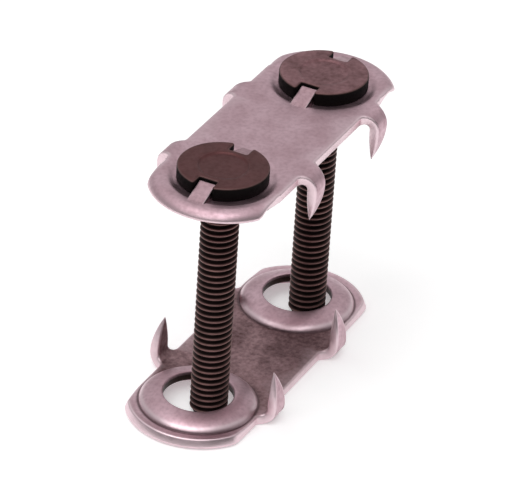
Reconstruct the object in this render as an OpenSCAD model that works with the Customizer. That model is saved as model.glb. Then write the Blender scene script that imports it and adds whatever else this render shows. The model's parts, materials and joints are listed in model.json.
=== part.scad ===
// Bolted plate fastener for joining the ends of a conveyor belt.
// Two pressed steel plates face each other on a pair of bolts. Four claws stand
// on each plate and bite into the belt when the plates are drawn together.
// +X runs along the plates, +Y across them and +Z up the bolts.

/* [Plates] */
// Thickness of the steel sheet
sheet_t = 1.7; // [1.4:0.05:1.9]
// Distance between the two bolts
bolt_spacing = 36; // [33:0.5:42]
// Radius of the plates' rounded ends about the bolts
end_r = 12.2; // [12.1:0.1:13]
// Width of the plates between their straight sides
waist_w = 21; // [20:0.2:22]
// Rounding of the corners between those sides and the ends
corner_r = 2.4; // [1:0.1:4]

/* [Claws] */
// Height of a claw from the outer face of its plate to its tip
claw_h = 9.2; // [7:0.1:10]
// Width of a claw at its root
claw_w = 3.6; // [2.8:0.1:3.8]
// Distance of a claw's outer face from the middle of the plate
claw_reach = 13.2; // [12.9:0.1:14]
// Inner radius of the bend at a claw's root
claw_bend_r = 1; // [0.6:0.1:1.4]
// Width that the root flares out by on each side
claw_flare = 1.5; // [0.5:0.1:1.6]
// Distance between the two claws on one side of a plate
claw_spread = 22.8; // [21:0.2:25]
// Shift of one side's claws along the plate, so that facing claws pass each other
claw_stagger = 2.6; // [2.5:0.1:3]

/* [Upper plate] */
// Depth of the dish pressed round each bolt head
dish_h = 0.4; // [0.2:0.1:0.8]
// Gap between a bolt head and the wall of its dish
dish_gap = 0.3; // [0.2:0.1:0.4]
// Width of the dish's sloping wall
dish_wall = 1.5; // [1.2:0.1:1.6]
// Outer radius of the turned-down rim at the plate's ends
upper_rim_r = 2.2; // [2.1:0.1:2.3]
// Angle through which that rim is turned
upper_rim_angle = 70; // [40:1:85]
// Length of the straight lip below that bend
upper_rim_lip = 0.2; // [0.1:0.1:0.5]
// Width of the tongues that hold each bolt head from turning
tongue_w = 3; // [2.4:0.1:3.4]
// Distance from the top of a bolt head down to the end of a tongue
tongue_drop = 0.45; // [0.2:0.05:0.8]

/* [Lower plate] */
// Diameter of the holes that the bolts pass through
hole_d = 11.8; // [11:0.1:12.4]
// Height of the domed collar pressed up round each hole
collar_h = 1.9; // [1:0.1:2.4]
// Width of that collar, from the hole to its foot
collar_w = 4; // [3.4:0.1:4.2]
// Thickness of the collar's skin at its foot
collar_skin = 1.1; // [0.8:0.1:1.4]
// Width of the sloping wall of the hollow under the collar
collar_wall = 1.4; // [1.2:0.1:1.8]
// Outer radius of the turned-up rim at the plate's ends
lower_rim_r = 4; // [3.6:0.1:4.6]
// Angle through which that rim is turned
lower_rim_angle = 22; // [10:1:28]
// Length of the straight lip beyond that bend
lower_rim_lip = 0.2; // [0.1:0.1:0.5]
// How far the loose plate has been pushed along, off the bolts' middle
shift_along = -1.2; // [-1.2:0.1:1.2]
// How far the loose plate has been pushed across, off the bolts' middle
shift_across = 1.4; // [-1.4:0.1:1.4]

/* [Bolts] */
// Diameter of a bolt over its thread
bolt_d = 6.35; // [5.6:0.05:6.6]
// Length of a bolt under its head
bolt_length = 44.45; // [38:0.05:57]
// Diameter of a bolt's plain neck, which fills the upper plate's hole
neck_d = 6.8; // [6.6:0.05:7.4]
// Length of the neck that stands out below the upper plate
neck_out = 0.6; // [0.4:0.1:1.2]
// Diameter of a bolt head
head_d = 15; // [14:0.1:15.2]
// Thickness of a bolt head
head_t = 2.4; // [1.8:0.1:2.8]
// Depth of the two notches in a bolt head, from its rim
notch_depth = 2.5; // [1.8:0.1:2.8]
// Rounding of a bolt head's upper edge
head_edge_r = 0.3; // [0.2:0.05:0.7]
// Diameter of the sunk face in the middle of a bolt head
face_d = 8.4; // [7:0.1:9]
// Depth of that sunk face
face_depth = 0.25; // [0.1:0.05:0.5]
// Chamfer at the free end of a bolt
end_chamfer = 0.6; // [0.3:0.05:1]

/* [Fits] */
// Clearance of a bolt's neck in the upper plate
neck_clear = 0.15; // [0.05:0.05:0.3]
// Clearance round a tongue in its notch
notch_clear = 0.15; // [0.1:0.05:0.3]

/* [Hidden] */
$fn = 96;

plate_colour = [0.70, 0.62, 0.65];
bolt_colour = [0.14, 0.10, 0.09];

// A joint between two solids overlaps by this much
lap = 0.4;
// Number of steps on each press wall or bend
steps = 8;

upper_at = [-shift_along / 2, -shift_across / 2, 0];
lower_at = [shift_along / 2, shift_across / 2, 0];
seat_z = bolt_length;
upper_z = seat_z + dish_h;
head_r = head_d / 2;
notch_floor_r = head_r - notch_depth;
dish_r = head_r + dish_gap;
// Height at which a claw's bend ends and its point begins
claw_spring = claw_bend_r + sheet_t;

// Points of an arc about a centre, from one angle to another
function arc(centre, r, from, to) =
    [for (i = [0:steps]) centre + r * [cos(from + (to - from) * i / steps), sin(from + (to - from) * i / steps)]];

// Share of a press wall's height, easing from 1 at its top to 0 at its foot
function ease(u) = (1 + cos(180 * u)) / 2;

// How far a press wall's outer face stands in from its belt face, so that the sheet keeps its thickness
function wall_inset(h, w) = sheet_t * tan(atan(PI / 2 * h / w) / 2);

// Section of a round pressing from radius r0, level to r1 on its belt face and down to its foot at r2
function pressing(r0, r1, r2, h) =
    let (inset = wall_inset(h, r2 - r1))
    concat(
        [[r0, h]],
        [for (i = [0:steps]) [r1 - inset + (r2 - r1) * i / steps, h * ease(i / steps)]],
        [[r2, 0]],
        [for (i = [steps:-1:0]) [r1 + (r2 - r1) * i / steps, sheet_t + h * ease(i / steps)]],
        [[r0, sheet_t + h]]);

// Section of a collar: domed on its belt face, like a quarter of an ellipse, with a hollow under it
function collar(r0, w, h) =
    let (
        r2 = r0 + w,
        hollow_from = r2 - collar_skin - collar_wall)
    concat(
        [[r0, h]],
        [for (i = [0:steps]) [hollow_from + collar_wall * i / steps, h * ease(i / steps)]],
        [[r2, 0]],
        [for (i = [steps:-1:0]) [r0 + w * sin(90 * i / steps), sheet_t + h * cos(90 * i / steps)]]);

// Radius at which a rim's bend starts, so that its lip ends at end_r
function rim_start(r, angle, lip) = end_r - r * sin(angle) - lip * cos(angle);

// Section of a rim: level sheet, a bend towards the belt, then a straight lip
function rim(r, angle, lip) =
    let (
        start = rim_start(r, angle, lip),
        centre = [start, r],
        outwards = [sin(angle), -cos(angle)],
        along = lip * [cos(angle), sin(angle)])
    concat(
        [[start - lap, 0]],
        arc(centre, r, -90, angle - 90),
        [centre + r * outwards + along, centre + (r - sheet_t) * outwards + along],
        arc(centre, r - sheet_t, angle - 90, -90),
        [[start - lap, sheet_t]]);

// Section of a claw across the plate: a straight inner face, and an outer one that curls in to the tip
function claw_section() =
    let (
        bend_c = [claw_reach - claw_spring, claw_spring],
        rise = claw_h - claw_spring,
        curl_r = (rise * rise + sheet_t * sheet_t) / (2 * sheet_t),
        curl_c = [claw_reach - curl_r, claw_spring],
        root = [waist_w / 2 - lap - sheet_t, 0])
    concat(
        [root],
        arc(bend_c, claw_spring, -90, 0),
        arc(curl_c, curl_r, 0, asin(rise / curl_r)),
        arc(bend_c, claw_bend_r, 0, -90),
        [root + [0, sheet_t]]);

// Outline of a claw seen from its side: a flared root under a pointed arch
module claw_outline() {
    half = claw_w / 2;
    rise = claw_h - claw_spring;
    flank_r = (rise * rise + half * half) / claw_w;
    polygon([
        for (side = [-1, 1], i = [0:steps])
            let (u = side < 0 ? i / steps : 1 - i / steps)
            [side * (half + claw_flare * (1 - sin(90 * u))), claw_spring * (1 - cos(90 * u))]]);
    translate([-half - claw_flare, -lap]) square([claw_w + 2 * claw_flare, lap]);
    intersection() {
        translate([half - flank_r, claw_spring]) circle(flank_r);
        translate([flank_r - half, claw_spring]) circle(flank_r);
        translate([-half, claw_spring - lap]) square([claw_w, rise + 2 * lap]);
    }
}

// One claw at the middle of the plate's +Y edge
module claw() {
    intersection() {
        rotate([90, 0, 90]) linear_extrude(claw_w + 2 * claw_flare, center = true) polygon(claw_section());
        rotate([90, 0, 0]) translate([0, 0, -2 * claw_reach]) linear_extrude(2 * claw_reach) claw_outline();
    }
}

// The two staggered claws on each side, alike when the plate is turned half round
module claws() {
    for (side = [0, 180], end = [-1, 1])
        rotate(side) translate([end * claw_spread / 2 + claw_stagger, 0, 0]) claw();
}

// Copies a shape to each bolt, turned so that +X points to the near end of the plate
module at_bolts() {
    for (turn = [0, 180]) rotate(turn) translate([bolt_spacing / 2, 0, 0]) children();
}

// Outline that an end is trimmed to: the plate's straight sides, rounded corners and a fan between these
module end_outline() {
    corner_y = waist_w / 2 - corner_r;
    corner_x = sqrt(pow(end_r - corner_r, 2) - pow(corner_y, 2));
    corner = [corner_x, corner_y] * 2 * end_r / corner_x;
    translate([-lap, -waist_w / 2]) square([corner_x + lap, waist_w]);
    for (side = [-1, 1]) translate([corner_x, side * corner_y]) circle(corner_r);
    polygon([[0, 0], [corner.x, -corner.y], corner]);
}

// The turned rim at one end, about the bolt
module end_rim(r, angle, lip) {
    intersection() {
        rotate(-90) rotate_extrude(angle = 180) polygon(rim(r, angle, lip));
        translate([0, 0, -lap]) linear_extrude(r + lip + 2 * lap) end_outline();
    }
}

// A plate with its outer face at z = 0 and the belt above it. About each bolt a disc of press_r is cut out,
// and a ring of the given section takes its place
module plate(rim_r, rim_angle, rim_lip, press_r, section) {
    difference() {
        union() {
            translate([-bolt_spacing / 2, -waist_w / 2, 0]) cube([bolt_spacing, waist_w, sheet_t]);
            at_bolts() cylinder(h = sheet_t, r = rim_start(rim_r, rim_angle, rim_lip));
            at_bolts() end_rim(rim_r, rim_angle, rim_lip);
            claws();
        }
        at_bolts() translate([0, 0, -lap]) cylinder(h = sheet_t + 2 * lap, r = press_r);
    }
    at_bolts() rotate_extrude() polygon(section);
}

module upper_plate() {
    belt_face_r = dish_r + wall_inset(dish_h, dish_wall);
    foot_r = belt_face_r + dish_wall;
    dish = pressing(neck_d / 2 + neck_clear, belt_face_r, foot_r, dish_h);
    color(plate_colour) translate(upper_at + [0, 0, upper_z]) {
        rotate([180, 0, 0]) plate(upper_rim_r, upper_rim_angle, upper_rim_lip, foot_r, dish);
        at_bolts() for (turn = [0, 180]) rotate(turn) tongue();
    }
}

// A tongue of the sheet, bent up from the dish's wall into a notch of the bolt head
module tongue() {
    inner_r = notch_floor_r + notch_clear;
    outer_r = dish_r + dish_wall;
    rotate([90, 0, 0]) translate([0, 0, -tongue_w / 2]) linear_extrude(tongue_w) polygon([
        [inner_r, -dish_h - sheet_t / 2],
        [outer_r, -dish_h],
        [outer_r + lap, 0],
        [inner_r, head_t - dish_h - tongue_drop]]);
}

module lower_plate() {
    hole_r = hole_d / 2;
    color(plate_colour) translate(lower_at)
        plate(lower_rim_r, lower_rim_angle, lower_rim_lip, hole_r + collar_w, collar(hole_r, collar_w, collar_h));
}

// A bolt standing on z = 0, its head seated on the upper plate and notched along the plate
module bolt() {
    shank_r = bolt_d / 2;
    neck_r = neck_d / 2;
    neck_z = seat_z - sheet_t - neck_out;
    edge_c = [head_r - head_edge_r, seat_z + head_t - head_edge_r];
    difference() {
        rotate_extrude() polygon(concat(
            [[0, 0], [shank_r - end_chamfer, 0], [shank_r, end_chamfer], [shank_r, neck_z]],
            [[neck_r, neck_z], [neck_r, seat_z], [head_r, seat_z]],
            arc(edge_c, head_edge_r, 0, 90),
            [[face_d / 2, seat_z + head_t],
             [face_d / 2 - face_depth, seat_z + head_t - face_depth],
             [0, seat_z + head_t - face_depth]]));
        for (turn = [0, 180]) rotate(turn)
            translate([notch_floor_r, -tongue_w / 2 - notch_clear, seat_z - lap])
                cube([head_r, tongue_w + 2 * notch_clear, head_t + 2 * lap]);
    }
}

module front_bolt() {
    color(bolt_colour) translate(upper_at - [bolt_spacing / 2, 0, 0]) bolt();
}

module rear_bolt() {
    color(bolt_colour) translate(upper_at + [bolt_spacing / 2, 0, 0]) bolt();
}

upper_plate();
lower_plate();
front_bolt();
rear_bolt();
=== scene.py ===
# %% [markdown]
# # A bolted plate fastener for conveyor belts
# Two pressed steel plates face each other on a pair of black bolts. Claws stand on both plates, and they
# bite into the belt's ends when nuts draw the plates together. This lesson dresses the fixed frame of that
# fastener: it gives the bolts their threads, the plates their soft pressed edges, and both their finish.

# %% The frame
import json

import bmesh
import bpy
import numpy as np
from mathutils import Matrix, Vector


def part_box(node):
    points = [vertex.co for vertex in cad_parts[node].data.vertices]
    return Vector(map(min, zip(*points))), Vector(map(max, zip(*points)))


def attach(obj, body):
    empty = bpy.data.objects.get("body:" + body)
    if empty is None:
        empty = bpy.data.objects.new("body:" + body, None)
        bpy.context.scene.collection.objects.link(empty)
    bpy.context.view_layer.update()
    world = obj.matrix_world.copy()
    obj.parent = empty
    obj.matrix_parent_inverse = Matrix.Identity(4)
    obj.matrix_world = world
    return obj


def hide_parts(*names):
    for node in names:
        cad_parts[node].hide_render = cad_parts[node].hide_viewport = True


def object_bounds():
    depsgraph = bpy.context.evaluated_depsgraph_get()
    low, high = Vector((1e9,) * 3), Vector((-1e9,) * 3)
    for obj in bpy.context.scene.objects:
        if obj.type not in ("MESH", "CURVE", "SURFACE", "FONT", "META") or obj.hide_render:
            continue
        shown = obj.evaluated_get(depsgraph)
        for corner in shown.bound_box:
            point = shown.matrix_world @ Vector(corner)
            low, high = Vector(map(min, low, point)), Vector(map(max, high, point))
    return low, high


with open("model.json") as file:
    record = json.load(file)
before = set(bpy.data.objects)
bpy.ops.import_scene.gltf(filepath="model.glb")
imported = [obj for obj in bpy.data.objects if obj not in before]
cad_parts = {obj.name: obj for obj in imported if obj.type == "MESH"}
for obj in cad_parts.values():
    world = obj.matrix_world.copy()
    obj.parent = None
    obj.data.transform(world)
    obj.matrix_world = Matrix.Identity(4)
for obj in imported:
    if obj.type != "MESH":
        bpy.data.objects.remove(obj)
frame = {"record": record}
cad_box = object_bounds()
MM = 0.001
mounts = {mount["name"]: mount for mount in frame["record"]["mounts"]}

# %% [markdown]
# ## Sizes
# Whatever the frame can tell is read from it: where the bolts stand, how thick they are, how far the plates
# reach. The rest are the sizes of the pressing, in millimetres, each named where it is first needed.

# %% Sizes read from the frame
def box_mm(node):
    """Lowest and highest corner of a node of the frame, in millimetres."""
    return tuple(np.array(corner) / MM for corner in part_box(node))


bolt_at = {end: np.array(mounts[end + "_bolt_end"]["pos_m"][:2]) / MM for end in ("front", "rear")}
bolt_r = mounts["front_bolt_end"]["dims"]["r_mm"]
thread_length = mounts["front_bolt_end"]["dims"]["length_mm"]
bolt_spacing = bolt_at["rear"][0] - bolt_at["front"][0]
bolt_low, bolt_high = box_mm("front_bolt")
lower_low, lower_high = box_mm("lower_plate")
upper_low, upper_high = box_mm("upper_plate")
head_r = (bolt_high[1] - bolt_low[1]) / 2
head_top = bolt_high[2]
claw_h = lower_high[2]
claw_reach = (lower_high[1] - lower_low[1]) / 2
end_r = (lower_high[0] - lower_low[0] - bolt_spacing) / 2
lower_at = np.append((lower_low + lower_high)[:2] / 2, 0.0)
upper_at = np.append((upper_low + upper_high)[:2] / 2, upper_low[2] + claw_h)
print(f"bolts {bolt_spacing:.1f} mm apart, heads {2 * head_r:.1f} mm wide, claws {claw_h:.1f} mm high")

# %% [markdown]
# ## Grids into meshes
# Every new piece is a grid of points worked out as whole arrays. Two helpers turn such a grid into a mesh:
# one numbers its quads, and one makes the object, welds the seams and poles, and measures the result. Values
# that a finish will need, such as where an edge is worn, go onto the points as named marks.

# %% Mesh helpers
WELD = 0.0002 * MM


def grid_quads(rows, columns, wrap_rows=False, wrap_columns=False):
    """Quads of a grid numbered row by row. A wrapped side joins its last line to its first."""
    row = np.arange(rows - (not wrap_rows))[:, None]
    column = np.arange(columns - (not wrap_columns))[None, :]
    next_row = (row + 1) % rows
    next_column = (column + 1) % columns
    corners = (row * columns + column, row * columns + next_column,
               next_row * columns + next_column, next_row * columns + column)
    return np.stack(np.broadcast_arrays(*corners), axis=-1)


def make_piece(name, points, quads, marks):
    """An object from points in millimetres, quads, and marks: named values, one at each point."""
    mesh = bpy.data.meshes.new(name)
    mesh.from_pydata((points.reshape(-1, 3) * MM).tolist(), [], quads.reshape(-1, 4).tolist())
    for mark, values in marks.items():
        layer = mesh.attributes.new(mark, "FLOAT", "POINT")
        layer.data.foreach_set("value", values.astype(np.float32).ravel())
    work = bmesh.new()
    work.from_mesh(mesh)
    bmesh.ops.delete(work, geom=[vert for vert in work.verts if not vert.link_faces], context="VERTS")
    bmesh.ops.remove_doubles(work, verts=work.verts, dist=WELD)
    open_edges = sum(len(edge.link_faces) != 2 for edge in work.edges)
    volume = work.calc_volume(signed=True) / MM ** 3
    work.to_mesh(mesh)
    work.free()
    mesh.shade_smooth()
    piece = bpy.data.objects.new(name, mesh)
    bpy.context.scene.collection.objects.link(piece)
    print(f"{name}: {len(mesh.polygons)} faces, {volume:.0f} mm3, {open_edges} open edges")
    return piece


# %% Curve helpers
def ease(low, high, value):
    """0 below low, 1 above high and a smooth S between: 3 u^2 - 2 u^3."""
    u = np.clip((value - low) / (high - low), 0, 1)
    return u * u * (3 - 2 * u)


def ridge(distance, width):
    """1 on a line, falling off on both sides of it: exp(-(distance / width)^2)."""
    return np.exp(-(distance / width) ** 2)


def arc(centre, radius, start, end, count):
    """Points of an arc from one angle to another, in degrees: centre + radius (cos, sin)."""
    angle = np.radians(np.linspace(start, end, count))
    return np.array(centre) + radius * np.stack([np.cos(angle), np.sin(angle)], axis=-1)


def normals(path, side):
    """Unit normals of a closed path: the chord between a point's neighbours, turned a quarter to one side."""
    span = np.roll(path, -1, axis=0) - np.roll(path, 1, axis=0)
    across = side * np.stack([span[:, 1], -span[:, 0]], axis=-1)
    return across / np.linalg.norm(across, axis=1, keepdims=True)


def edge_marks(angle):
    """How far a rounded edge counts as its side, as its worn middle and as its top, a quarter turn later:
    cos^4 of the angle, sin^2 of twice the angle and sin^4 of the angle."""
    return np.cos(angle) ** 4, np.sin(2 * angle) ** 2, np.sin(angle) ** 4


# %% [markdown]
# ## The bolts
# A bolt is a screw thread under a thin round head with two notches. A thread is the textbook surface of two
# parameters, an angle and a height: its radius depends only on height / pitch - angle / turn, so that each
# ridge climbs one pitch in a turn. The head isn't round, because of its notches, so its rows follow an
# outline with in-plane normals, and the rows of thread use one angle for each point of that outline. A bolt
# could also be put together from a bar, a disc and two cuts, but in this way shank, head and notches are a
# single closed grid with rounded edges.

# %% The head's outline
NOTCH_HALF = 1.65
NOTCH_FLOOR = 5.0
NOTCH_FILLET = 0.3
NOTCH_CORNER = 0.4
FACE_R = 4.2
FLOOR_POINTS = 4
FILLET_POINTS = 5
CORNER_POINTS = 8
RIM_POINTS = 26
WALL_MARGIN = 1.0
CORNER_TURN = 6.0


def head_outline():
    """Outline of a notched head, its normals, and an angle for each point that never turns back.
    Half of it runs from one notch's floor over the rim to the other; the rest is that half turned round."""
    corner_y = NOTCH_HALF + NOTCH_CORNER
    corner_x = np.sqrt((head_r - NOTCH_CORNER) ** 2 - corner_y ** 2)
    rim_from = np.degrees(np.arctan2(corner_y, corner_x))
    fillet_x = NOTCH_FLOOR + NOTCH_FILLET
    fillet_y = NOTCH_HALF - NOTCH_FILLET
    floor_y = np.linspace(0, fillet_y, FLOOR_POINTS, endpoint=False)
    floor = np.stack([np.full(FLOOR_POINTS, NOTCH_FLOOR), floor_y], axis=-1)
    fillet = arc((fillet_x, fillet_y), NOTCH_FILLET, 180, 90, FILLET_POINTS)
    corner = arc((corner_x, corner_y), NOTCH_CORNER, -90, rim_from, CORNER_POINTS)
    rim = arc((0, 0), head_r, rim_from, 90, RIM_POINTS)[1:]
    quarter = np.concatenate([floor, fillet, corner, rim])
    half = np.concatenate([quarter, (quarter * [-1, 1])[-2:0:-1]])
    path = np.concatenate([half, [[-NOTCH_FLOOR, 0]], -half[1:]])
    angle = outline_angle(quarter)
    half_angle = np.concatenate([angle, 180 - angle[-2:0:-1]])
    angles = np.concatenate([half_angle, [180], 180 + half_angle[1:]])
    return path, normals(path, 1), np.radians(angles)


def outline_angle(quarter):
    """Angle for each point of a quarter outline, in proportion to the length along it. The notch's floor and
    wall share the angle that the notch takes up on the round face, and its corner takes a little more."""
    step = np.linalg.norm(np.diff(quarter, axis=0), axis=1)
    length = np.append(0, np.cumsum(step))
    wall_angle = np.degrees(np.arcsin(NOTCH_HALF / FACE_R)) + WALL_MARGIN
    fillet_end = FLOOR_POINTS + FILLET_POINTS - 1
    stops = length[[0, fillet_end, fillet_end + CORNER_POINTS, -1]]
    return np.interp(length, stops, [0, wall_angle, wall_angle + CORNER_TURN, 90])


outline, outward, turn = head_outline()
print("points round a bolt:", len(outline))

# %% The thread
PITCH = 1.1
THREAD_DEPTH = 0.62 * PITCH
CREST_TO = 0.1
ROOT_FROM = 0.86
FADE_FROM = 1.5 * PITCH
FADE_TO = 0.2 * PITCH
ROWS_PER_PITCH = 12
END_CHAMFER = 0.6


def rings(radii, heights):
    """Circles of the given radii and heights, one row each, with a point at each angle of the outline."""
    radii = np.reshape(radii, (-1, 1))
    heights = np.reshape(heights, (-1, 1))
    radius, height, angle = np.broadcast_arrays(radii, heights, turn)
    return np.stack([radius * np.cos(angle), radius * np.sin(angle), height], axis=-1)


def thread_rows(top):
    """Rows of the thread. With u = height / pitch - angle / turn, each turn is a ridge whose radius falls
    from the crest by a smooth S to the root. It fades out under the neck, and a cone trims it at the free
    end."""
    height = np.arange(0, top, PITCH / ROWS_PER_PITCH)[:, None]
    from_crest = 2 * np.abs((height / PITCH - turn / (2 * np.pi)) % 1 - 0.5)
    fade = 1 - ease(top - FADE_FROM, top - FADE_TO, height)
    cut = fade * ease(CREST_TO, ROOT_FROM, from_crest)
    radius = np.minimum(bolt_r - THREAD_DEPTH * cut, bolt_r - END_CHAMFER + height)
    height = np.broadcast_to(height, radius.shape)
    return np.stack([radius * np.cos(turn), radius * np.sin(turn), height], axis=-1), 1 - cut


thread_top = END_CHAMFER + thread_length
thread, crest = thread_rows(thread_top)
print(f"thread: {thread_top / PITCH:.0f} turns, {len(thread)} rows")

# %% The bolt's rows
HEAD_T = 2.4
NECK_R = 3.4
HEAD_EDGE = 0.3
HEAD_EDGE_ROWS = 6
HEAD_UNDER_EDGE = 0.2
UNDER_IN = np.array([1, 1 / 3, 0])
UNDER_UP = np.array([0, 0.4, 1])
FACE_ROWS = 5
FACE_DEPTH = 0.25
SUNK_IN = np.array([0.1, FACE_DEPTH, 0.5, 1.2, 2.4, 3.6, FACE_R])
SUNK_DOWN = np.array([0.2, 1, 1, 1, 1, 1, 1])


def contours(insets, heights):
    """Copies of the head's outline, one row each, moved in along its normals."""
    inset = np.reshape(insets, (-1, 1, 1))
    flat = outline - inset * outward
    height = np.broadcast_to(np.reshape(heights, (-1, 1, 1)), flat.shape[:2] + (1,))
    return np.concatenate([flat, height], axis=-1)


def bolt_grid():
    """All rows of a bolt from the middle of its free end to the middle of its head, and the marks on them."""
    seat = head_top - HEAD_T
    quarter = np.radians(np.linspace(0, 90, HEAD_EDGE_ROWS))
    edge_in = HEAD_EDGE * (1 - np.cos(quarter))
    edge_up = head_top - HEAD_EDGE + HEAD_EDGE * np.sin(quarter)
    face = contours(HEAD_EDGE, head_top)
    share = np.linspace(0, 1, FACE_ROWS + 1)[1:, None, None]
    parts = {
        "end": rings([0, bolt_r / 2], 0),
        "thread": thread,
        "neck": rings([bolt_r, NECK_R, NECK_R, FACE_R], [thread_top, thread_top, seat, seat]),
        "under": contours(HEAD_UNDER_EDGE * UNDER_IN, seat + HEAD_UNDER_EDGE * UNDER_UP),
        "rim": contours(edge_in, edge_up),
        "face": face + share * (rings(FACE_R, head_top) - face),
        "sunk": rings(FACE_R - SUNK_IN, head_top - FACE_DEPTH * SUNK_DOWN),
    }
    points = np.concatenate(list(parts.values()))
    label = np.repeat(list(parts), [len(part) for part in parts.values()])
    marks = {mark: np.zeros(points.shape[:2]) for mark in ("crest", "top", "rim", "side")}
    marks["crest"][label == "thread"] = crest
    marks["top"][(label == "face") | (label == "sunk")] = 1
    # The side mark, which carries painted shade in the finish, covers the head's underside too.
    marks["side"][label == "under"] = 1
    for mark, values in zip(("side", "rim", "top"), edge_marks(quarter)):
        marks[mark][label == "rim"] = values[:, None]
    return points, marks


# %% The two bolts
# Painted light: how much paler a head's face is painted, as if it caught more light; the rear one most.
HEAD_LIT = {"front": 0.0, "rear": 1.0}


def make_bolt(end):
    """The bolt at one end of the plates, standing on its own axis, with the painted light that makes its head
    paler.
    """
    points, marks = bolt_grid()
    # Painted light: the mark that makes this head paler.
    marks["rubbed"] = np.full(points.shape[:2], HEAD_LIT[end])
    quads = grid_quads(*points.shape[:2], wrap_columns=True)
    bolt = make_piece(end + "_threaded_bolt", points + np.append(bolt_at[end], 0), quads, marks)
    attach(bolt, "bolted_plate")
    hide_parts(end + "_bolt")
    return bolt


bolts = [make_bolt(end) for end in ("front", "rear")]

# %% [markdown]
# ## The plates
# A plate is stamped from flat sheet and then pressed to shape, and it can be made the same way here. The flat
# blank is a grid: lines run from the middle out to the blank's outline, claws and all. One function then does
# the work of the press. It bends whatever lies beyond a start line, which turns the claws up and rolls the
# ends, and it lifts a round step about each bolt. The sheet has a face on both sides of that bent surface,
# and a rounded edge carried along the outline joins them. Solid claws and collars could be joined to a flat
# plate instead, but they would lack the sheet's even thickness and its soft bends.

# %% The claws' outline
SHEET = 1.7
WAIST = 21.0
CLAW_W = 3.6
CLAW_FLARE = 1.5
CLAW_BEND_R = 1.0
CLAW_SPREAD = 22.8
CLAW_STAGGER = 2.6
CLAW_SPRING = CLAW_BEND_R + SHEET
CLAW_MID_R = CLAW_BEND_R + SHEET / 2
CLAW_BEND_FROM = claw_reach - CLAW_SPRING
CLAW_RISE = claw_h - CLAW_SPRING
CLAW_TOP_OF_BEND = CLAW_BEND_FROM + CLAW_MID_R * np.pi / 2
FLARE_POINTS = 40
FLANK_POINTS = 80
HALF_SPACING = bolt_spacing / 2


def claw_edge():
    """Half of a claw's outline in the flat: a quarter-ellipse fillet out of the plate's edge, then a flank
    that is an arc of a circle, up to the point. x runs from the fillet's foot to the claw's middle."""
    u = np.radians(np.linspace(0, 90, FLARE_POINTS))
    half = CLAW_W / 2
    fillet_x = half + CLAW_FLARE * (1 - np.sin(u))
    fillet_y = WAIST / 2 + (CLAW_TOP_OF_BEND - WAIST / 2) * (1 - np.cos(u))
    flank_r = (CLAW_RISE ** 2 + half ** 2) / CLAW_W
    rise = np.linspace(0, CLAW_RISE, FLANK_POINTS)[1:]
    flank_x = np.sqrt(flank_r ** 2 - rise ** 2) - (flank_r - half)
    return np.concatenate([-fillet_x, -flank_x]), np.concatenate([fillet_y, CLAW_TOP_OF_BEND + rise])


def side_outline():
    """The blank's edge along one side, as a curve y over x from one bolt to the other."""
    x, y = claw_edge()
    claw_x = np.concatenate([x, -x[-2::-1]])
    claw_y = np.concatenate([y, y[-2::-1]])
    places = CLAW_STAGGER + CLAW_SPREAD / 2 * np.array([-1, 1])
    path_x = np.concatenate([[-HALF_SPACING]] + [place + claw_x for place in places] + [[HALF_SPACING]])
    path_y = np.concatenate([[WAIST / 2], claw_y, claw_y, [WAIST / 2]])
    return path_x, path_y


print(f"a claw bends {CLAW_BEND_FROM:.2f} mm from the middle and rises {CLAW_RISE:.2f} mm above its bend")

# %% The two pressings
HOLE_R = 5.9
COLLAR_W = 4.0
COLLAR_H = 1.9
HOLLOW_FROM = 7.4
HOLLOW_W = 1.4
BOLT_HOLE_R = 3.55
DISH_ROOM = 0.3
DISH_R = head_r + DISH_ROOM
DISH_WALL = 1.5
DISH_H = 0.4
DISH_INSET = SHEET * np.tan(np.arctan(np.pi / 2 * DISH_H / DISH_WALL) / 2)
DOME_POWER = 1.7


def wave(u):
    """Falls from 1 to 0 in a soft S: (1 + cos(180 u)) / 2."""
    return (1 + np.cos(np.pi * u)) / 2


def dome(u):
    """Falls from 1 to 0 over a rounded crown: (1 - u^p)^(1/p)."""
    return (1 - u ** DOME_POWER) ** (1 / DOME_POWER)


class Pressing:
    """Sizes of one plate's pressing: its turned rim, its holes, and the round step about each bolt. On each
    face of the sheet the step's wall is given by the radius that it starts from and its width."""

    def __init__(self, rim_r, rim_angle, rim_lip, hole_r, step_h, belt_wall, outer_wall, domed):
        self.rim_mid_r = rim_r - SHEET / 2
        self.rim_angle = np.radians(rim_angle)
        self.rim_from = end_r - rim_r * np.sin(self.rim_angle) - rim_lip * np.cos(self.rim_angle)
        self.end_edge = self.rim_from + self.rim_mid_r * self.rim_angle + rim_lip
        self.hole_r = hole_r
        self.step_h = step_h
        self.belt_wall = belt_wall
        self.outer_wall = outer_wall
        self.domed = domed
        self.foot_r = sum(belt_wall)

    def lift(self, radius, depth):
        """How far the step lifts a point. On each face u runs from 0 to 1 across the wall, and the height
        falls as a wave of u, or as a dome on the belt's side. Points between the faces share the two."""
        walls = (self.outer_wall, self.belt_wall)
        outer_u, belt_u = [np.clip((radius - start) / width, 0, 1) for start, width in walls]
        outer = wave(outer_u)
        belt = dome(belt_u) if self.domed else wave(belt_u)
        return self.step_h * (outer + depth * (belt - outer))


lower_pressing = Pressing(rim_r=4.0, rim_angle=22, rim_lip=0.2, hole_r=HOLE_R, step_h=COLLAR_H,
                          belt_wall=(HOLE_R, COLLAR_W), outer_wall=(HOLLOW_FROM, HOLLOW_W), domed=True)
upper_pressing = Pressing(rim_r=2.2, rim_angle=70, rim_lip=0.2, hole_r=BOLT_HOLE_R, step_h=DISH_H,
                          belt_wall=(DISH_R + DISH_INSET, DISH_WALL), outer_wall=(DISH_R, DISH_WALL),
                          domed=False)
for name, pressing in (("collar", lower_pressing), ("dish", upper_pressing)):
    print(f"{name}: {pressing.step_h} mm high, its foot {pressing.foot_r:.2f} mm from the bolt")

# %% Bending the sheet
CLAW_TIP = 0.12
RIM_FADE = 12.0
TINY = 1e-9


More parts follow.
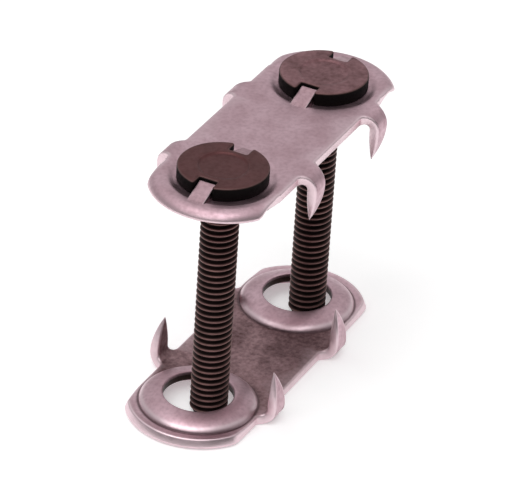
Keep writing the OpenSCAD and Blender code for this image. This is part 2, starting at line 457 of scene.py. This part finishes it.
def nearest_on_axis(flat):
    """For points in the flat, their nearest place on the line between the bolts, the distance from there and
    the direction."""
    axis_x = np.clip(flat[..., 0], -HALF_SPACING, HALF_SPACING)
    away = np.stack([flat[..., 0] - axis_x, flat[..., 1]], axis=-1)
    distance = np.linalg.norm(away, axis=-1)
    return axis_x, distance, away / np.maximum(distance, TINY)[..., None]


def from_bolt(flat):
    """Distance of places on the blank from the nearer bolt."""
    return np.hypot(np.abs(flat[..., 0]) - HALF_SPACING, flat[..., 1])


def claw_taper(lip):
    """How far a claw's outer face has curled in at a height above its bend: r - sqrt(r^2 - height^2)."""
    radius = (CLAW_RISE ** 2 + SHEET ** 2) / (2 * SHEET)
    curl = radius - np.sqrt(radius ** 2 - np.clip(lip, 0, CLAW_RISE) ** 2)
    return np.minimum(curl, SHEET - CLAW_TIP)


def bend(flat, pressing):
    """Where the press takes the sheet's middle: its place on the axis and direction from there, radius,
    height, angle of bend, straight length and rim share. Beyond a start line the sheet follows an arc, and
    past the arc's limit it runs straight."""
    axis_x, distance, away = nearest_on_axis(flat)
    share = ease(0, RIM_FADE, np.degrees(np.arctan2(np.abs(away[..., 0]), np.abs(away[..., 1]))))
    start = CLAW_BEND_FROM + share * (pressing.rim_from - CLAW_BEND_FROM)
    radius = CLAW_MID_R + share * (pressing.rim_mid_r - CLAW_MID_R)
    limit = np.pi / 2 + share * (pressing.rim_angle - np.pi / 2)
    beyond = np.maximum(distance - start, 0)
    angle = np.minimum(beyond / radius, limit)
    lip = beyond - radius * angle
    out = np.minimum(distance, start) + radius * np.sin(angle) + lip * np.cos(angle)
    up = SHEET / 2 + radius * (1 - np.cos(angle)) + lip * np.sin(angle)
    return axis_x, away, out, up, angle, lip, share


def press(flat, depth, pressing):
    """Points of the pressed sheet. flat is a place on the blank, and depth runs from 0 on the outer face to 1
    on the face towards the belt. A point sits on the bent middle, off it along the bend's normal, and is
    lifted by the step about its bolt."""
    axis_x, away, out, up, angle, lip, share = bend(flat, pressing)
    taper = claw_taper(lip) * (1 - share)
    off = (depth - 0.5) * SHEET + (1 - depth) * taper
    radial = out - np.sin(angle) * off
    height = up + np.cos(angle) * off + pressing.lift(from_bolt(flat), depth)
    return np.stack([axis_x + away[..., 0] * radial, away[..., 1] * radial, height], axis=-1)


claw_point = np.array([CLAW_STAGGER + CLAW_SPREAD / 2, CLAW_TOP_OF_BEND + CLAW_RISE])
print(f"a claw's point comes {press(claw_point, 1, lower_pressing)[2]:.2f} mm above the outer face")

# %% The blank's lines
CORNER_R = 2.4
LINE_STEP = 0.4
CLAW_STEP = 0.5
LINE_SNAP = 0.02
END_LINES = 61
REACH_STEPS = 800
CROSSING = np.radians(np.linspace(0, 45, 10))


def end_radius(angle):
    """Radius of an end's outline, at an angle to the plate's length: that of the round end, of the corner's
    arc, or of the straight side, half the waist over the sine."""
    angle = np.abs(angle)
    corner_y = WAIST / 2 - CORNER_R
    corner_x = np.sqrt((end_r - CORNER_R) ** 2 - corner_y ** 2)
    along = corner_x * np.cos(angle) + corner_y * np.sin(angle)
    across = corner_x * np.sin(angle) - corner_y * np.cos(angle)
    corner = along + np.sqrt(np.maximum(CORNER_R ** 2 - across ** 2, 0))
    side = WAIST / 2 / np.maximum(np.sin(angle), TINY)
    ends = [angle < np.arctan2(corner_y, corner_x), angle < np.arctan2(WAIST / 2, corner_x)]
    return np.select(ends, [end_r, corner], side)


def flat_reach(radius, pressing):
    """Length of flat sheet, from the bolt out, whose outer face comes to a radius once the rim is turned."""
    length = np.linspace(0, pressing.end_edge, REACH_STEPS)
    angle = np.clip((length - pressing.rim_from) / pressing.rim_mid_r, 0, pressing.rim_angle)
    lip = np.maximum(length - pressing.rim_from - pressing.rim_mid_r * angle, 0)
    reach = np.minimum(length, pressing.rim_from) + pressing.rim_mid_r * np.sin(angle) + lip * np.cos(angle)
    return np.interp(radius, reach + SHEET / 2 * np.sin(angle), length)


def blank_lines(pressing):
    """Outer points of the blank's lines, in order round it. Along a side they stand evenly, closer at the
    claws and where the hole or the step's foot runs across, alike on both sides; about the bolts they are
    radii."""
    path_x, path_y = side_outline()
    length = np.append(0, np.cumsum(np.hypot(np.diff(path_x), np.diff(path_y))))
    even = np.linspace(-HALF_SPACING, HALF_SPACING, int(bolt_spacing / LINE_STEP))
    claws = np.interp(np.arange(0, length[-1], CLAW_STEP), length, path_x)
    rounds = [HALF_SPACING - radius * np.cos(CROSSING) for radius in (pressing.hole_r, pressing.foot_r)]
    x = np.concatenate([even, claws] + rounds)
    x = np.unique(np.round(np.concatenate([x, -x]) / LINE_SNAP).astype(int)) * LINE_SNAP
    x = np.clip(x, -HALF_SPACING, HALF_SPACING)
    side = np.stack([x, np.interp(x, path_x, path_y)], axis=-1)
    angle = np.radians(np.linspace(90, -90, END_LINES)[1:-1])
    reach = flat_reach(end_radius(angle), pressing)
    end = np.stack([HALF_SPACING + reach * np.cos(angle), reach * np.sin(angle)], axis=-1)
    half = np.concatenate([side, end])
    return np.concatenate([half, -half])


print("lines of the blanks:", len(blank_lines(lower_pressing)), "and", len(blank_lines(upper_pressing)))

# %% Where a line crosses the plate
WEB_TO = 10.0


def chord(radius, offset):
    """Half the chord of a circle at a distance from its middle, sqrt(r^2 - d^2), or 0 outside it."""
    return np.sqrt(np.maximum(radius ** 2 - offset ** 2, 0))


def line_stops(edge, pressing):
    """Where each line starts, on the hole's edge or else on the plate's middle, where it crosses the step's
    foot and where it nears the plate's edge. Lines between the steps cross no foot and stop short of the
    edge."""
    axis_x, _, away = nearest_on_axis(edge)
    inwards = HALF_SPACING - np.abs(axis_x)
    axis = np.stack([axis_x, np.zeros_like(axis_x)], axis=-1)
    start = chord(pressing.hole_r, inwards)
    foot = np.maximum(chord(pressing.foot_r, inwards), inwards - pressing.foot_r)
    web_end = np.full_like(start, WEB_TO)
    return [axis + away * stop[:, None] for stop in (start, foot, web_end)], start > 0


# %% Marks for the finish
HOLE_EDGE = 0.3
WEAR_W = 0.5
SHOULDER_IN = 0.45
SHOULDER_W = 0.3
VALLEY_OUT = 0.1
VALLEY_W = 0.2
WEB_FADE = (13.0, 20.0)
WEB_FOOT = (-0.1, 0.2)
BORE_LAP = 0.05
BORE_FADE = (0.05, 0.3)


def plate_marks(flat, depth, edge, pressing):
    """Marks for the finish: wear near the edge and a painted highlight on a dome's shoulder, the dull web
    between the steps on the belt's side, whose colour also carries painted shade, painted shade in the valley
    at their feet, and painted shade in the bore of each hole."""
    from_edge = np.linalg.norm(flat - edge[:, None], axis=-1)
    from_hole = from_bolt(flat) - pressing.hole_r
    from_foot = from_bolt(flat) - pressing.foot_r
    between = 1 - ease(*WEB_FADE, np.abs(flat[..., 0]))
    # Painted highlight: a bright line along the shoulder of each domed collar.
    shoulder_highlight = pressing.domed * depth * ridge(from_foot + SHOULDER_IN, SHOULDER_W)
    return {
        "wear": np.maximum(ridge(from_edge, WEAR_W), shoulder_highlight),
        # The web is dull and grainy, and its colour is also darkened as painted shade under the upper plate.
        "web": depth * between * ease(*WEB_FOOT, from_foot),
        # Painted shade in the valley at each step's foot.
        "valley": depth * ridge(from_foot - VALLEY_OUT, VALLEY_W),
        # Painted shade in the bore of each hole and on the sheet just round it.
        "bore": (from_hole < HOLE_EDGE + BORE_LAP) * ease(*BORE_FADE, 1 - depth),
    }


# %% A plate's grid
HOLE_LINES = 4
STEP_LINES = 22
WEB_LINES = 6
RIM_LINES = 18
WALL_LINES = 3
EDGE_STEPS = 5
SHEET_EDGE = 0.35
EDGE_SHARE = 0.3


def face_lines(edge, foot, pressing):
    """Points of a face along each line, and which lines start at a hole. They crowd together at the hole's
    edge and at the step's foot, and run evenly from there to the foot of the plate's rounded edge."""
    (start, step_foot, web_end), holed = line_stops(edge, pressing)
    across = np.linalg.norm(step_foot - start, axis=1)[:, None]
    hole_share = HOLE_EDGE / np.maximum(across, 2 * HOLE_EDGE)
    hole = hole_share * np.linspace(0, 1, HOLE_LINES, endpoint=False) ** 2
    quarter = np.linspace(0, np.pi / 2, STEP_LINES, endpoint=False)
    step = hole_share + (1 - hole_share) * np.sin(quarter)
    web = np.linspace(0, 1, WEB_LINES, endpoint=False)[None] ** 3
    rim = np.linspace(0, 1, RIM_LINES)[None]
    spans = [(start, step_foot, np.concatenate([hole, step], axis=1)),
             (step_foot, web_end, web),
             (web_end, foot, rim)]
    parts = [near[:, None] + share[..., None] * (far - near)[:, None] for near, far, share in spans]
    return np.concatenate(parts, axis=1), holed


def hole_sink(face, pressing):
    """How far a face sinks at the hole's rounded edge: r - sqrt(r^2 - (r - distance)^2)."""
    inside = np.clip(HOLE_EDGE + pressing.hole_r - from_bolt(face), 0, HOLE_EDGE)
    return HOLE_EDGE - chord(HOLE_EDGE, inside)


def plate_grid(pressing):
    """The plate as rows, one a line of the blank. Along a row the points cross the outer face, round the
    edge, come back over the inner face and close through the hole's wall."""
    edge = blank_lines(pressing)
    out = normals(edge, -1)
    *_, lip, _ = bend(edge, pressing)
    thick = (SHEET - claw_taper(lip) * (np.abs(edge[:, 0]) < HALF_SPACING))[:, None]
    soft = np.minimum(SHEET_EDGE, EDGE_SHARE * thick)
    face, holed = face_lines(edge, edge - soft * out, pressing)
    face_depth = hole_sink(face, pressing) / SHEET
    corner = np.radians(np.linspace(0, 90, EDGE_STEPS))[1:]
    inset = soft * (1 - np.sin(corner))
    sink = soft * (1 - np.cos(corner)) / thick
    round_edge = edge[:, None] - inset[..., None] * out[:, None]
    hole_wall = np.repeat(face[:, :1], WALL_LINES, axis=1)
    hole_depth = face_depth[:, :1]
    wall_depth = hole_depth + (1 - 2 * hole_depth) * np.linspace(1, 0, WALL_LINES + 2)[1:-1]
    flat = np.concatenate([face, round_edge, round_edge[:, ::-1], face[:, ::-1], hole_wall], axis=1)
    depth = np.concatenate([face_depth, sink, 1 - sink[:, ::-1], 1 - face_depth[:, ::-1], wall_depth], axis=1)
    points = press(flat, depth, pressing)
    quads = grid_quads(*points.shape[:2], wrap_rows=True, wrap_columns=True)
    in_wall = np.arange(points.shape[1]) >= points.shape[1] - WALL_LINES - 1
    at_hole = holed | np.roll(holed, -1)
    kept = at_hole[:, None] | ~in_wall
    return points, quads[kept], plate_marks(flat, depth, edge, pressing)


# %% The two plates
def make_plate(node, body, pressing, place, flip):
    """A pressed plate in its place. flip is -1 for the plate that is turned over along its length."""
    points, quads, marks = plate_grid(pressing)
    plate = make_piece("pressed_" + node, points * [1, flip, flip] + place, quads, marks)
    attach(plate, body)
    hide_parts(node)
    return plate


lower_plate = make_plate("lower_plate", "loose_plate", lower_pressing, lower_at, 1)
upper_plate = make_plate("upper_plate", "bolted_plate", upper_pressing, upper_at, -1)

# %% [markdown]
# ## The tongues
# Tongues of the upper plate's sheet are bent up into the notches, so that a bolt can't turn while its nut is
# run home. A tongue is a flat section carried across its width, with rounded edges. It could be bent out of
# the blank, but the blank's lines run out from the bolts and don't follow its sides. So a union joins four
# tongues to the plate.

# %% A tongue's grid
TONGUE_W = 3.0
TONGUE_EDGE = 0.25
TONGUE_DROP = 0.45
TONGUE_GAP = 0.15
TONGUE_LAP = 0.4
TONGUE_DULL = 0.35
TONGUE_LINES = 10
NOSE_R = 0.3
NOSE_DROP = 1.25 * NOSE_R
NOSE_FROM = 75
NOSE_POINTS = 7


def tongue_section():
    """A tongue's section, distance from the bolt against height over the plate, with its upper corner
    rounded."""
    tip = NOTCH_FLOOR + TONGUE_GAP
    root = DISH_R + DISH_WALL
    top = HEAD_T - DISH_H - TONGUE_DROP
    nose = arc((tip + NOSE_R, top - NOSE_DROP), NOSE_R, NOSE_FROM, 180, NOSE_POINTS)
    share = np.linspace(0, 1, TONGUE_LINES, endpoint=False)[:, None]
    slope = np.array([root + TONGUE_LAP, 0]) * (1 - share) + nose[0] * share
    return np.concatenate([[[tip, -DISH_H - SHEET / 2], [root, -DISH_H]], slope, nose])


def tongue_grid():
    """A tongue as rows of its section, drawn in along its normals at both ends of the width and capped, and
    the marks on them: painted shade on the cut sides, wear along the edges, and a face a little duller and
    darker, mixed a little towards the web's colour."""
    section = tongue_section()
    corner = np.radians(np.linspace(0, 90, EDGE_STEPS))
    inset = TONGUE_EDGE * (1 - np.sin(corner))
    across = TONGUE_W / 2 - TONGUE_EDGE * (1 - np.cos(corner))
    level = np.zeros(TONGUE_LINES)
    insets = np.concatenate([inset, level, inset[::-1]])[:, None, None]
    rows = section - insets * normals(section, 1)
    cap = np.broadcast_to(section.mean(axis=0), rows[:1].shape)
    rows = np.concatenate([cap, rows, cap])
    middle = np.linspace(across[-1], -across[-1], TONGUE_LINES + 2)[1:-1]
    places = np.concatenate([across[:1], across, middle, -across[::-1], -across[:1]])
    places = np.broadcast_to(places[:, None], rows.shape[:2])
    side, worn_and_glint, _ = edge_marks(corner)
    marks = {
        # Painted shade on the tongue's cut sides.
        "bore": np.concatenate([[1], side, level, side[::-1], [1]]),
        "wear": np.concatenate([[0], worn_and_glint, level, worn_and_glint[::-1], [0]]),
        "web": np.full(len(rows), TONGUE_DULL),
    }
    marks = {mark: np.repeat(values, rows.shape[1]) for mark, values in marks.items()}
    return np.stack([rows[..., 0], places, rows[..., 1]], axis=-1), marks


# %% The tongues on their plate
SHARP_ANGLE = 50


def make_tongues():
    """All tongues as one object, one on each side of each bolt."""
    grid, marks = tongue_grid()
    quads = grid_quads(*grid.shape[:2], wrap_columns=True).reshape(-1, 4)
    grid = grid.reshape(-1, 3)
    copies = [grid * [side, side, 1] + np.append(at, upper_at[2])
              for at in bolt_at.values() for side in (1, -1)]
    quads = np.concatenate([quads + len(grid) * number for number in range(len(copies))])
    marks = {mark: np.tile(values, len(copies)) for mark, values in marks.items()}
    return make_piece("tongues", np.concatenate(copies), quads, marks)


def add_tongues(plate):
    """Joins the tongues to the plate by a union, and marks the sharp edges that it leaves."""
    tongues = make_tongues()
    union = plate.modifiers.new("tongues", "BOOLEAN")
    union.operation = "UNION"
    union.solver = "MANIFOLD"
    union.object = tongues
    joined = bpy.data.meshes.new_from_object(plate.evaluated_get(bpy.context.evaluated_depsgraph_get()))
    plate.modifiers.remove(union)
    plate.data = joined
    bpy.data.objects.remove(tongues)
    joined.set_sharp_from_angle(angle=np.radians(SHARP_ANGLE))
    joined.materials.clear()
    joined.polygons.foreach_set("material_index", np.zeros(len(joined.polygons), np.int32))
    print(f"plate with tongues: {len(joined.polygons)} faces")


add_tongues(upper_plate)

# %% [markdown]
# ## Finishes
# Shader maths reads best as plain arithmetic. One class wraps a socket, so that sums and products of values
# add their own Math nodes, and one method adds any other node.

# %% Values
class Value:
    """An output of a shader node. Arithmetic with it adds Math nodes."""

    def __init__(self, finish, socket):
        self.finish = finish
        self.socket = socket

    def maths(self, operation, first, second):
        return self.finish.node("ShaderNodeMath", {"operation": operation}, {0: first, 1: second})

    def __add__(self, other):
        return self.maths("ADD", self, other)

    def __sub__(self, other):
        return self.maths("SUBTRACT", self, other)

    def __rsub__(self, other):
        return self.maths("SUBTRACT", other, self)

    def __mul__(self, other):
        return self.maths("MULTIPLY", self, other)

    __radd__ = __add__
    __rmul__ = __mul__


# %% Nodes
class Finish:
    """The nodes of a material or a surround, added one at a time."""

    def __init__(self, owner, shader, **sockets):
        owner.use_nodes = True
        self.owner = owner
        self.tree = owner.node_tree
        self.shader = self.tree.nodes[shader]
        for socket, value in sockets.items():
            self.set(socket.replace("_", " "), value)

    def feed(self, socket, value):
        """Links a value to a socket, or sets a plain number or colour on it."""
        if isinstance(value, Value):
            self.tree.links.new(value.socket, socket)
        else:
            socket.default_value = value

    def set(self, socket, value):
        """Feeds a socket of the shader itself."""
        self.feed(self.shader.inputs[socket], value)

    def node(self, kind, settings=None, inputs=None, output=0):
        """Adds a node: its settings first, with a ramp's stops among them, then its sockets' values or
        links."""
        made = self.tree.nodes.new(kind)
        for name, value in (settings or {}).items():
            if name == "stops":
                for stop, (place, level) in zip(made.color_ramp.elements, value):
                    stop.position = place
                    stop.color = (level, level, level, 1)
            else:
                setattr(made, name, value)
        for socket, value in (inputs or {}).items():
            self.feed(made.inputs[socket], value)
        return Value(self, made.outputs[output])

    def mark(self, name):
        """A named value from the mesh's points."""
        return self.node("ShaderNodeAttribute", {"attribute_name": name}, output="Fac")

    def noise(self, scale, detail, stretch=None, turn=(0, 0, 0)):
        """Noise with scale patches to a metre, over the piece's own coordinates."""
        place = self.node("ShaderNodeTexCoord", output="Object")
        if stretch:
            place = self.node("ShaderNodeMapping", None,
                              {"Vector": place, "Rotation": turn, "Scale": stretch})
        return self.node("ShaderNodeTexNoise", None, {"Vector": place, "Scale": scale, "Detail": detail})

    def ramp(self, value, low, high):
        """0 where a value is below low, 1 where it is above high, and straight between."""
        return self.node("ShaderNodeValToRGB", {"stops": [(low, 0.0), (high, 1.0)]}, {"Fac": value})

    def patches(self, scale, detail, low, high, **how):
        """Noise whose low and high levels are cut off, which leaves patches with soft borders."""
        return self.ramp(self.noise(scale, detail, **how), low, high)

    def mix(self, share, first, second):
        """The first colour where the share is 0, and the second where it is 1."""
        return self.node("ShaderNodeMix", {"data_type": "RGBA"},
                         {"Factor": share, 6: first, 7: second}, output=2)

    def bump(self, height, distance, strength):
        """A normal that leans as if the surface rose by a height of at most this distance, in metres."""
        return self.node("ShaderNodeBump", None,
                         {"Height": height, "Distance": distance, "Strength": strength})


# %% Materials and colours
def new_finish(name, **sockets):
    """A new material, with the given values on its shader."""
    return Finish(bpy.data.materials.new(name), "Principled BSDF", **sockets)


def colour(red, green, blue):
    """A colour written as the eye sees it, 0 to 255, as the linear light that a shader takes."""
    seen = np.array([red, green, blue]) / 255
    linear = np.where(seen <= 0.04045, seen / 12.92, ((seen + 0.055) / 1.055) ** 2.4)
    return (*linear.tolist(), 1.0)


# %% [markdown]
# ## Plate steel
# The plates are tumbled steel with a faint pink cast: satin, a little cloudy and finely scratched. Edges are
# rubbed bright, and a painted highlight runs round the shoulders of the collars. The web between the collars
# is dull and grainy on the belt's side, and its colour is darkened further as painted shade under the upper
# plate.
# The valley at the foot of each step and the bores of the holes carry painted shade. An image could be
# painted for all that. Here noise of several sizes makes the steel, and the marks that the press left on the
# points say where it is worn and dull and where highlight and shade are painted, so that the finish always
# fits the shape.

# %% Plate steel
STEEL_LIGHT = colour(212, 180, 190)
STEEL_DARK = colour(192, 160, 169)
STEEL_SPECK = colour(160, 130, 138)
# Painted shade: the web's colours are darker than the steel, for the shade under the upper plate.
WEB_SHADED_LIGHT = colour(182, 149, 153)
WEB_SHADED_DARK = colour(98, 72, 74)
# Painted shade for the valleys.
VALLEY_SHADE = colour(64, 46, 46)
# Worn edges, and the painted highlight on the collars' shoulders.
WEAR_AND_HIGHLIGHT = colour(236, 214, 220)
# Painted shade for the bores and the tongues' cut sides.
DEEP_SHADE_BROWN = colour(52, 38, 36)
GRAIN_DEPTH = 0.03 * MM
SCRATCH_STRETCH = (1, 0.06, 1)
SCRATCH_TURN = (0, 0, 0.6)


def plate_steel():
    """Steel from cloud and specks, then the dull web with painted shade, painted shade in the valley, the
    worn edges with a painted highlight on the shoulders, and painted shade in the bores over it.
    """
    finish = new_finish("plate_steel", Metallic=1.0)
    web = finish.mark("web")
    wear = finish.mark("wear")
    cloud = finish.patches(scale=220, detail=4, low=0.35, high=0.7)
    speck = finish.patches(scale=1500, detail=3, low=0.4, high=0.7)
    scratch = finish.patches(scale=900, detail=2, low=0.55, high=0.75,
                             stretch=SCRATCH_STRETCH, turn=SCRATCH_TURN)
    grain = finish.patches(scale=1500, detail=6, low=0.3, high=0.7)
    blotch = finish.patches(scale=170, detail=5, low=0.36, high=0.64)
    steel = finish.mix(cloud, STEEL_LIGHT, STEEL_DARK)
    steel = finish.mix(speck * 0.35, steel, STEEL_SPECK)
    # Painted shade: the web's grain, in colours darkened for the shade under the upper plate.
    steel = finish.mix(web, steel, finish.mix(0.5 * grain + 0.5 * blotch, WEB_SHADED_LIGHT, WEB_SHADED_DARK))
    # Painted shade in the valleys.
    steel = finish.mix(finish.mark("valley") * 0.8, steel, VALLEY_SHADE)
    # Worn edges, and a painted highlight on the collars' shoulders.
    steel = finish.mix(wear * 0.75, steel, WEAR_AND_HIGHLIGHT)
    # Painted shade in the bores and on the tongues' cut sides.
    finish.set("Base Color", finish.mix(finish.mark("bore"), steel, DEEP_SHADE_BROWN))
    finish.set("Roughness", 0.34 + 0.12 * cloud + 0.08 * speck + 0.12 * web - 0.06 * wear)
    height = finish.noise(scale=1100, detail=3) + 0.5 * scratch
    finish.set("Normal", finish.bump(height, GRAIN_DEPTH, strength=0.6))
    return finish.owner


steel = plate_steel()
for plate in (lower_plate, upper_plate):
    plate.data.materials.append(steel)
print(f"plate_steel: {len(steel.node_tree.nodes)} nodes")

# %% [markdown]
# ## Bolt steel
# The bolts are black oxide over steel. The crests of the thread carry a painted highlight, and the coat is
# rubbed thin on the rims of the heads. The heads' sides and undersides are painted black as shade, and on
# their faces the coat has gone a reddish brown, which is painted paler on the rear bolt as if it caught more
# light. Two materials could hold that difference, but one is enough here, because each bolt carries its own
# mark of how much paler its head is painted.

# %% Bolt steel
OXIDE_DARK = colour(26, 14, 14)
OXIDE_LIGHT = colour(40, 23, 22)
# Painted highlight along the thread's crests.
CREST_GLINT = colour(150, 112, 108)
HEAD_BROWN = colour(100, 60, 61)
# Painted light: the paler face of the rear head.
HEAD_LIT_PALE = colour(150, 110, 115)
HEAD_DARK = colour(78, 46, 46)
# Painted shade on the heads' sides and undersides.
SIDE_SHADE = colour(10, 5, 5)
RIM_WORN = colour(150, 114, 112)


def bolt_steel():
    """Oxide from cloud, with a painted highlight on the crests, painted shade on the sides, brown faces and
    worn rims over it. The sixth power of the crest mark leaves the painted highlight on the very top of each
    ridge only."""
    finish = new_finish("bolt_steel", Metallic=0.75)
    side = finish.mark("side")
    ridge_top = finish.mark("crest") * finish.mark("crest")
    # Painted highlight on the very top of each ridge.
    worn_and_glint = ridge_top * ridge_top * ridge_top
    cloud = finish.patches(scale=260, detail=4, low=0.3, high=0.7)
    speck = finish.patches(scale=1400, detail=3, low=0.35, high=0.7)
    # Painted light: the rear head's face is painted paler, as if lit more.
    brown = finish.mix(finish.mark("rubbed"), HEAD_BROWN, HEAD_LIT_PALE)
    brown = finish.mix(cloud * 0.5 + speck * 0.3, brown, HEAD_DARK)
    oxide = finish.mix(cloud, OXIDE_DARK, OXIDE_LIGHT)
    # Painted highlight on the crests.
    oxide = finish.mix(worn_and_glint * (0.5 + 0.4 * cloud), oxide, CREST_GLINT)
    # Painted shade on the heads' sides and undersides.
    oxide = finish.mix(side, oxide, SIDE_SHADE)
    oxide = finish.mix(finish.mark("top"), oxide, brown)
    finish.set("Base Color", finish.mix(finish.mark("rim") * 0.4, oxide, RIM_WORN))
    finish.set("Roughness", 0.42 + 0.14 * speck + 0.3 * side - 0.14 * worn_and_glint)
    finish.set("Normal", finish.bump(finish.noise(scale=1300, detail=3), GRAIN_DEPTH, strength=0.5))
    return finish.owner


oxide = bolt_steel()
for bolt in bolts:
    bolt.data.materials.append(oxide)
print(f"bolt_steel: {len(oxide.node_tree.nodes)} nodes")

# %% [markdown]
# ## Studio
# A pale floor, a white surround and one large soft lamp. Bare steel shows what it mirrors, so lamps in a dark
# room would leave it black between their reflections. The surround gives it a soft range of greys instead: it
# is dim on the camera's side, lighter on the far side and brightest overhead. The camera stands where the
# photograph was taken from and is turned to the object, with the small roll that the lens gave the upright
# bolts there.

# %% Floor
FLOOR_HALF = 3.0
FLOOR_DROP = 0.02 * MM
FLOOR_LIFT = 0.3
FLOOR_WHITE = (0.95, 0.95, 0.95, 1)
BLACK = (0, 0, 0, 1)
WHITE = (1, 1, 1, 1)


def floor_finish():
    """White for the floor. What the camera and reflections see of it is lifted, and it still takes shadows.
    From below it is clear, so that the part can be seen from there."""
    finish = new_finish("floor", Base_Color=FLOOR_WHITE, Roughness=0.9, Specular_IOR_Level=0.1)
    rays = ("Is Camera Ray", "Is Glossy Ray", "Is Transmission Ray")
    camera, glossy, through = [finish.node("ShaderNodeLightPath", output=ray) for ray in rays]
    finish.set("Emission Color", finish.mix(camera + glossy + through, BLACK, WHITE))
    finish.set("Emission Strength", FLOOR_LIFT)
    below = finish.node("ShaderNodeNewGeometry", output="Backfacing")
    solid = Value(finish, finish.shader.outputs["BSDF"])
    clear = finish.node("ShaderNodeBsdfTransparent")
    both = finish.node("ShaderNodeMixShader", None, {"Fac": below, 1: solid, 2: clear})
    finish.feed(finish.tree.nodes["Material Output"].inputs["Surface"], both)
    return finish.owner


def make_floor():
    """A flat floor, wide enough to fill every view and just below the part."""
    corners = FLOOR_HALF * np.array([(-1, -1), (1, -1), (1, 1), (-1, 1)])
    mesh = bpy.data.meshes.new("floor")
    mesh.from_pydata([(x, y, -FLOOR_DROP) for x, y in corners.tolist()], [], [(0, 1, 2, 3)])
    mesh.materials.append(floor_finish())
    floor = bpy.data.objects.new("floor", mesh)
    bpy.context.scene.collection.objects.link(floor)


make_floor()
print(f"floor: {2 * FLOOR_HALF:.0f} m wide")

# %% Light
CAMERA_AT = Vector((-0.577, -0.272, 0.416))
FRONT_LEVEL = 0.12
BACK_LEVEL = 0.58
OVERHEAD_LEVEL = 0.42
SIDE_SPAN = (0.2, 0.8)
OVERHEAD_SPAN = (0.7, 0.98)
KEY_AT = Vector((-0.40, 0.02, 0.72))
KEY_SIZE = 0.8
KEY_POWER = 3.4


def make_world():
    """A white surround. Its level rises smoothly from the camera's side to the far side, and overhead, by
    the dot product of a direction with each of these two."""
    world = bpy.data.worlds.new("surround")
    surround = Finish(world, "Background", Color=WHITE)
    place = surround.node("ShaderNodeTexCoord", output="Generated")

    def towards(direction):
        along = surround.node("ShaderNodeVectorMath", {"operation": "DOT_PRODUCT"},
                              {0: place, 1: direction}, output="Value")
        return 0.5 + 0.5 * along

    away = -Vector((CAMERA_AT.x, CAMERA_AT.y, 0)).normalized()
    level = FRONT_LEVEL + (BACK_LEVEL - FRONT_LEVEL) * surround.ramp(towards(away), *SIDE_SPAN)
    level = level + OVERHEAD_LEVEL * surround.ramp(towards((0, 0, 1)), *OVERHEAD_SPAN)
    surround.set("Strength", level)
    bpy.context.scene.world = world


def make_key(aim):
    """A square soft lamp that faces a point."""
    light = bpy.data.lights.new("key", "AREA")
    light.shape = "SQUARE"
    light.size = KEY_SIZE
    light.energy = KEY_POWER
    lamp = bpy.data.objects.new("key", light)
    bpy.context.scene.collection.objects.link(lamp)
    lamp.location = KEY_AT
    lamp.rotation_euler = (aim - KEY_AT).to_track_quat("-Z", "Y").to_euler()


middle = Vector((0, 0, (cad_box[0].z + cad_box[1].z) / 2))
make_world()
make_key(middle)
print(f"key lamp: {KEY_SIZE} m wide, {(KEY_AT - middle).length:.2f} m from the part")

# %% Camera
CAMERA_ROLL = 3.9
LENS = 312.0
CLIP_START = 0.01


def make_camera():
    """The camera at the photograph's place, aimed at the object and rolled about its own axis."""
    camera = bpy.data.objects.new("camera", bpy.data.cameras.new("camera"))
    bpy.context.scene.collection.objects.link(camera)
    aim = (middle - CAMERA_AT).to_track_quat("-Z", "Y").to_matrix()
    roll = Matrix.Rotation(np.radians(CAMERA_ROLL), 3, "Z")
    camera.matrix_world = Matrix.Translation(CAMERA_AT) @ (aim @ roll).to_4x4()
    camera.data.lens = LENS
    camera.data.clip_start = CLIP_START
    bpy.context.scene.camera = camera


make_camera()
bpy.context.scene.view_settings.view_transform = "Standard"
print(f"camera: {(CAMERA_AT - middle).length:.2f} m from the part")
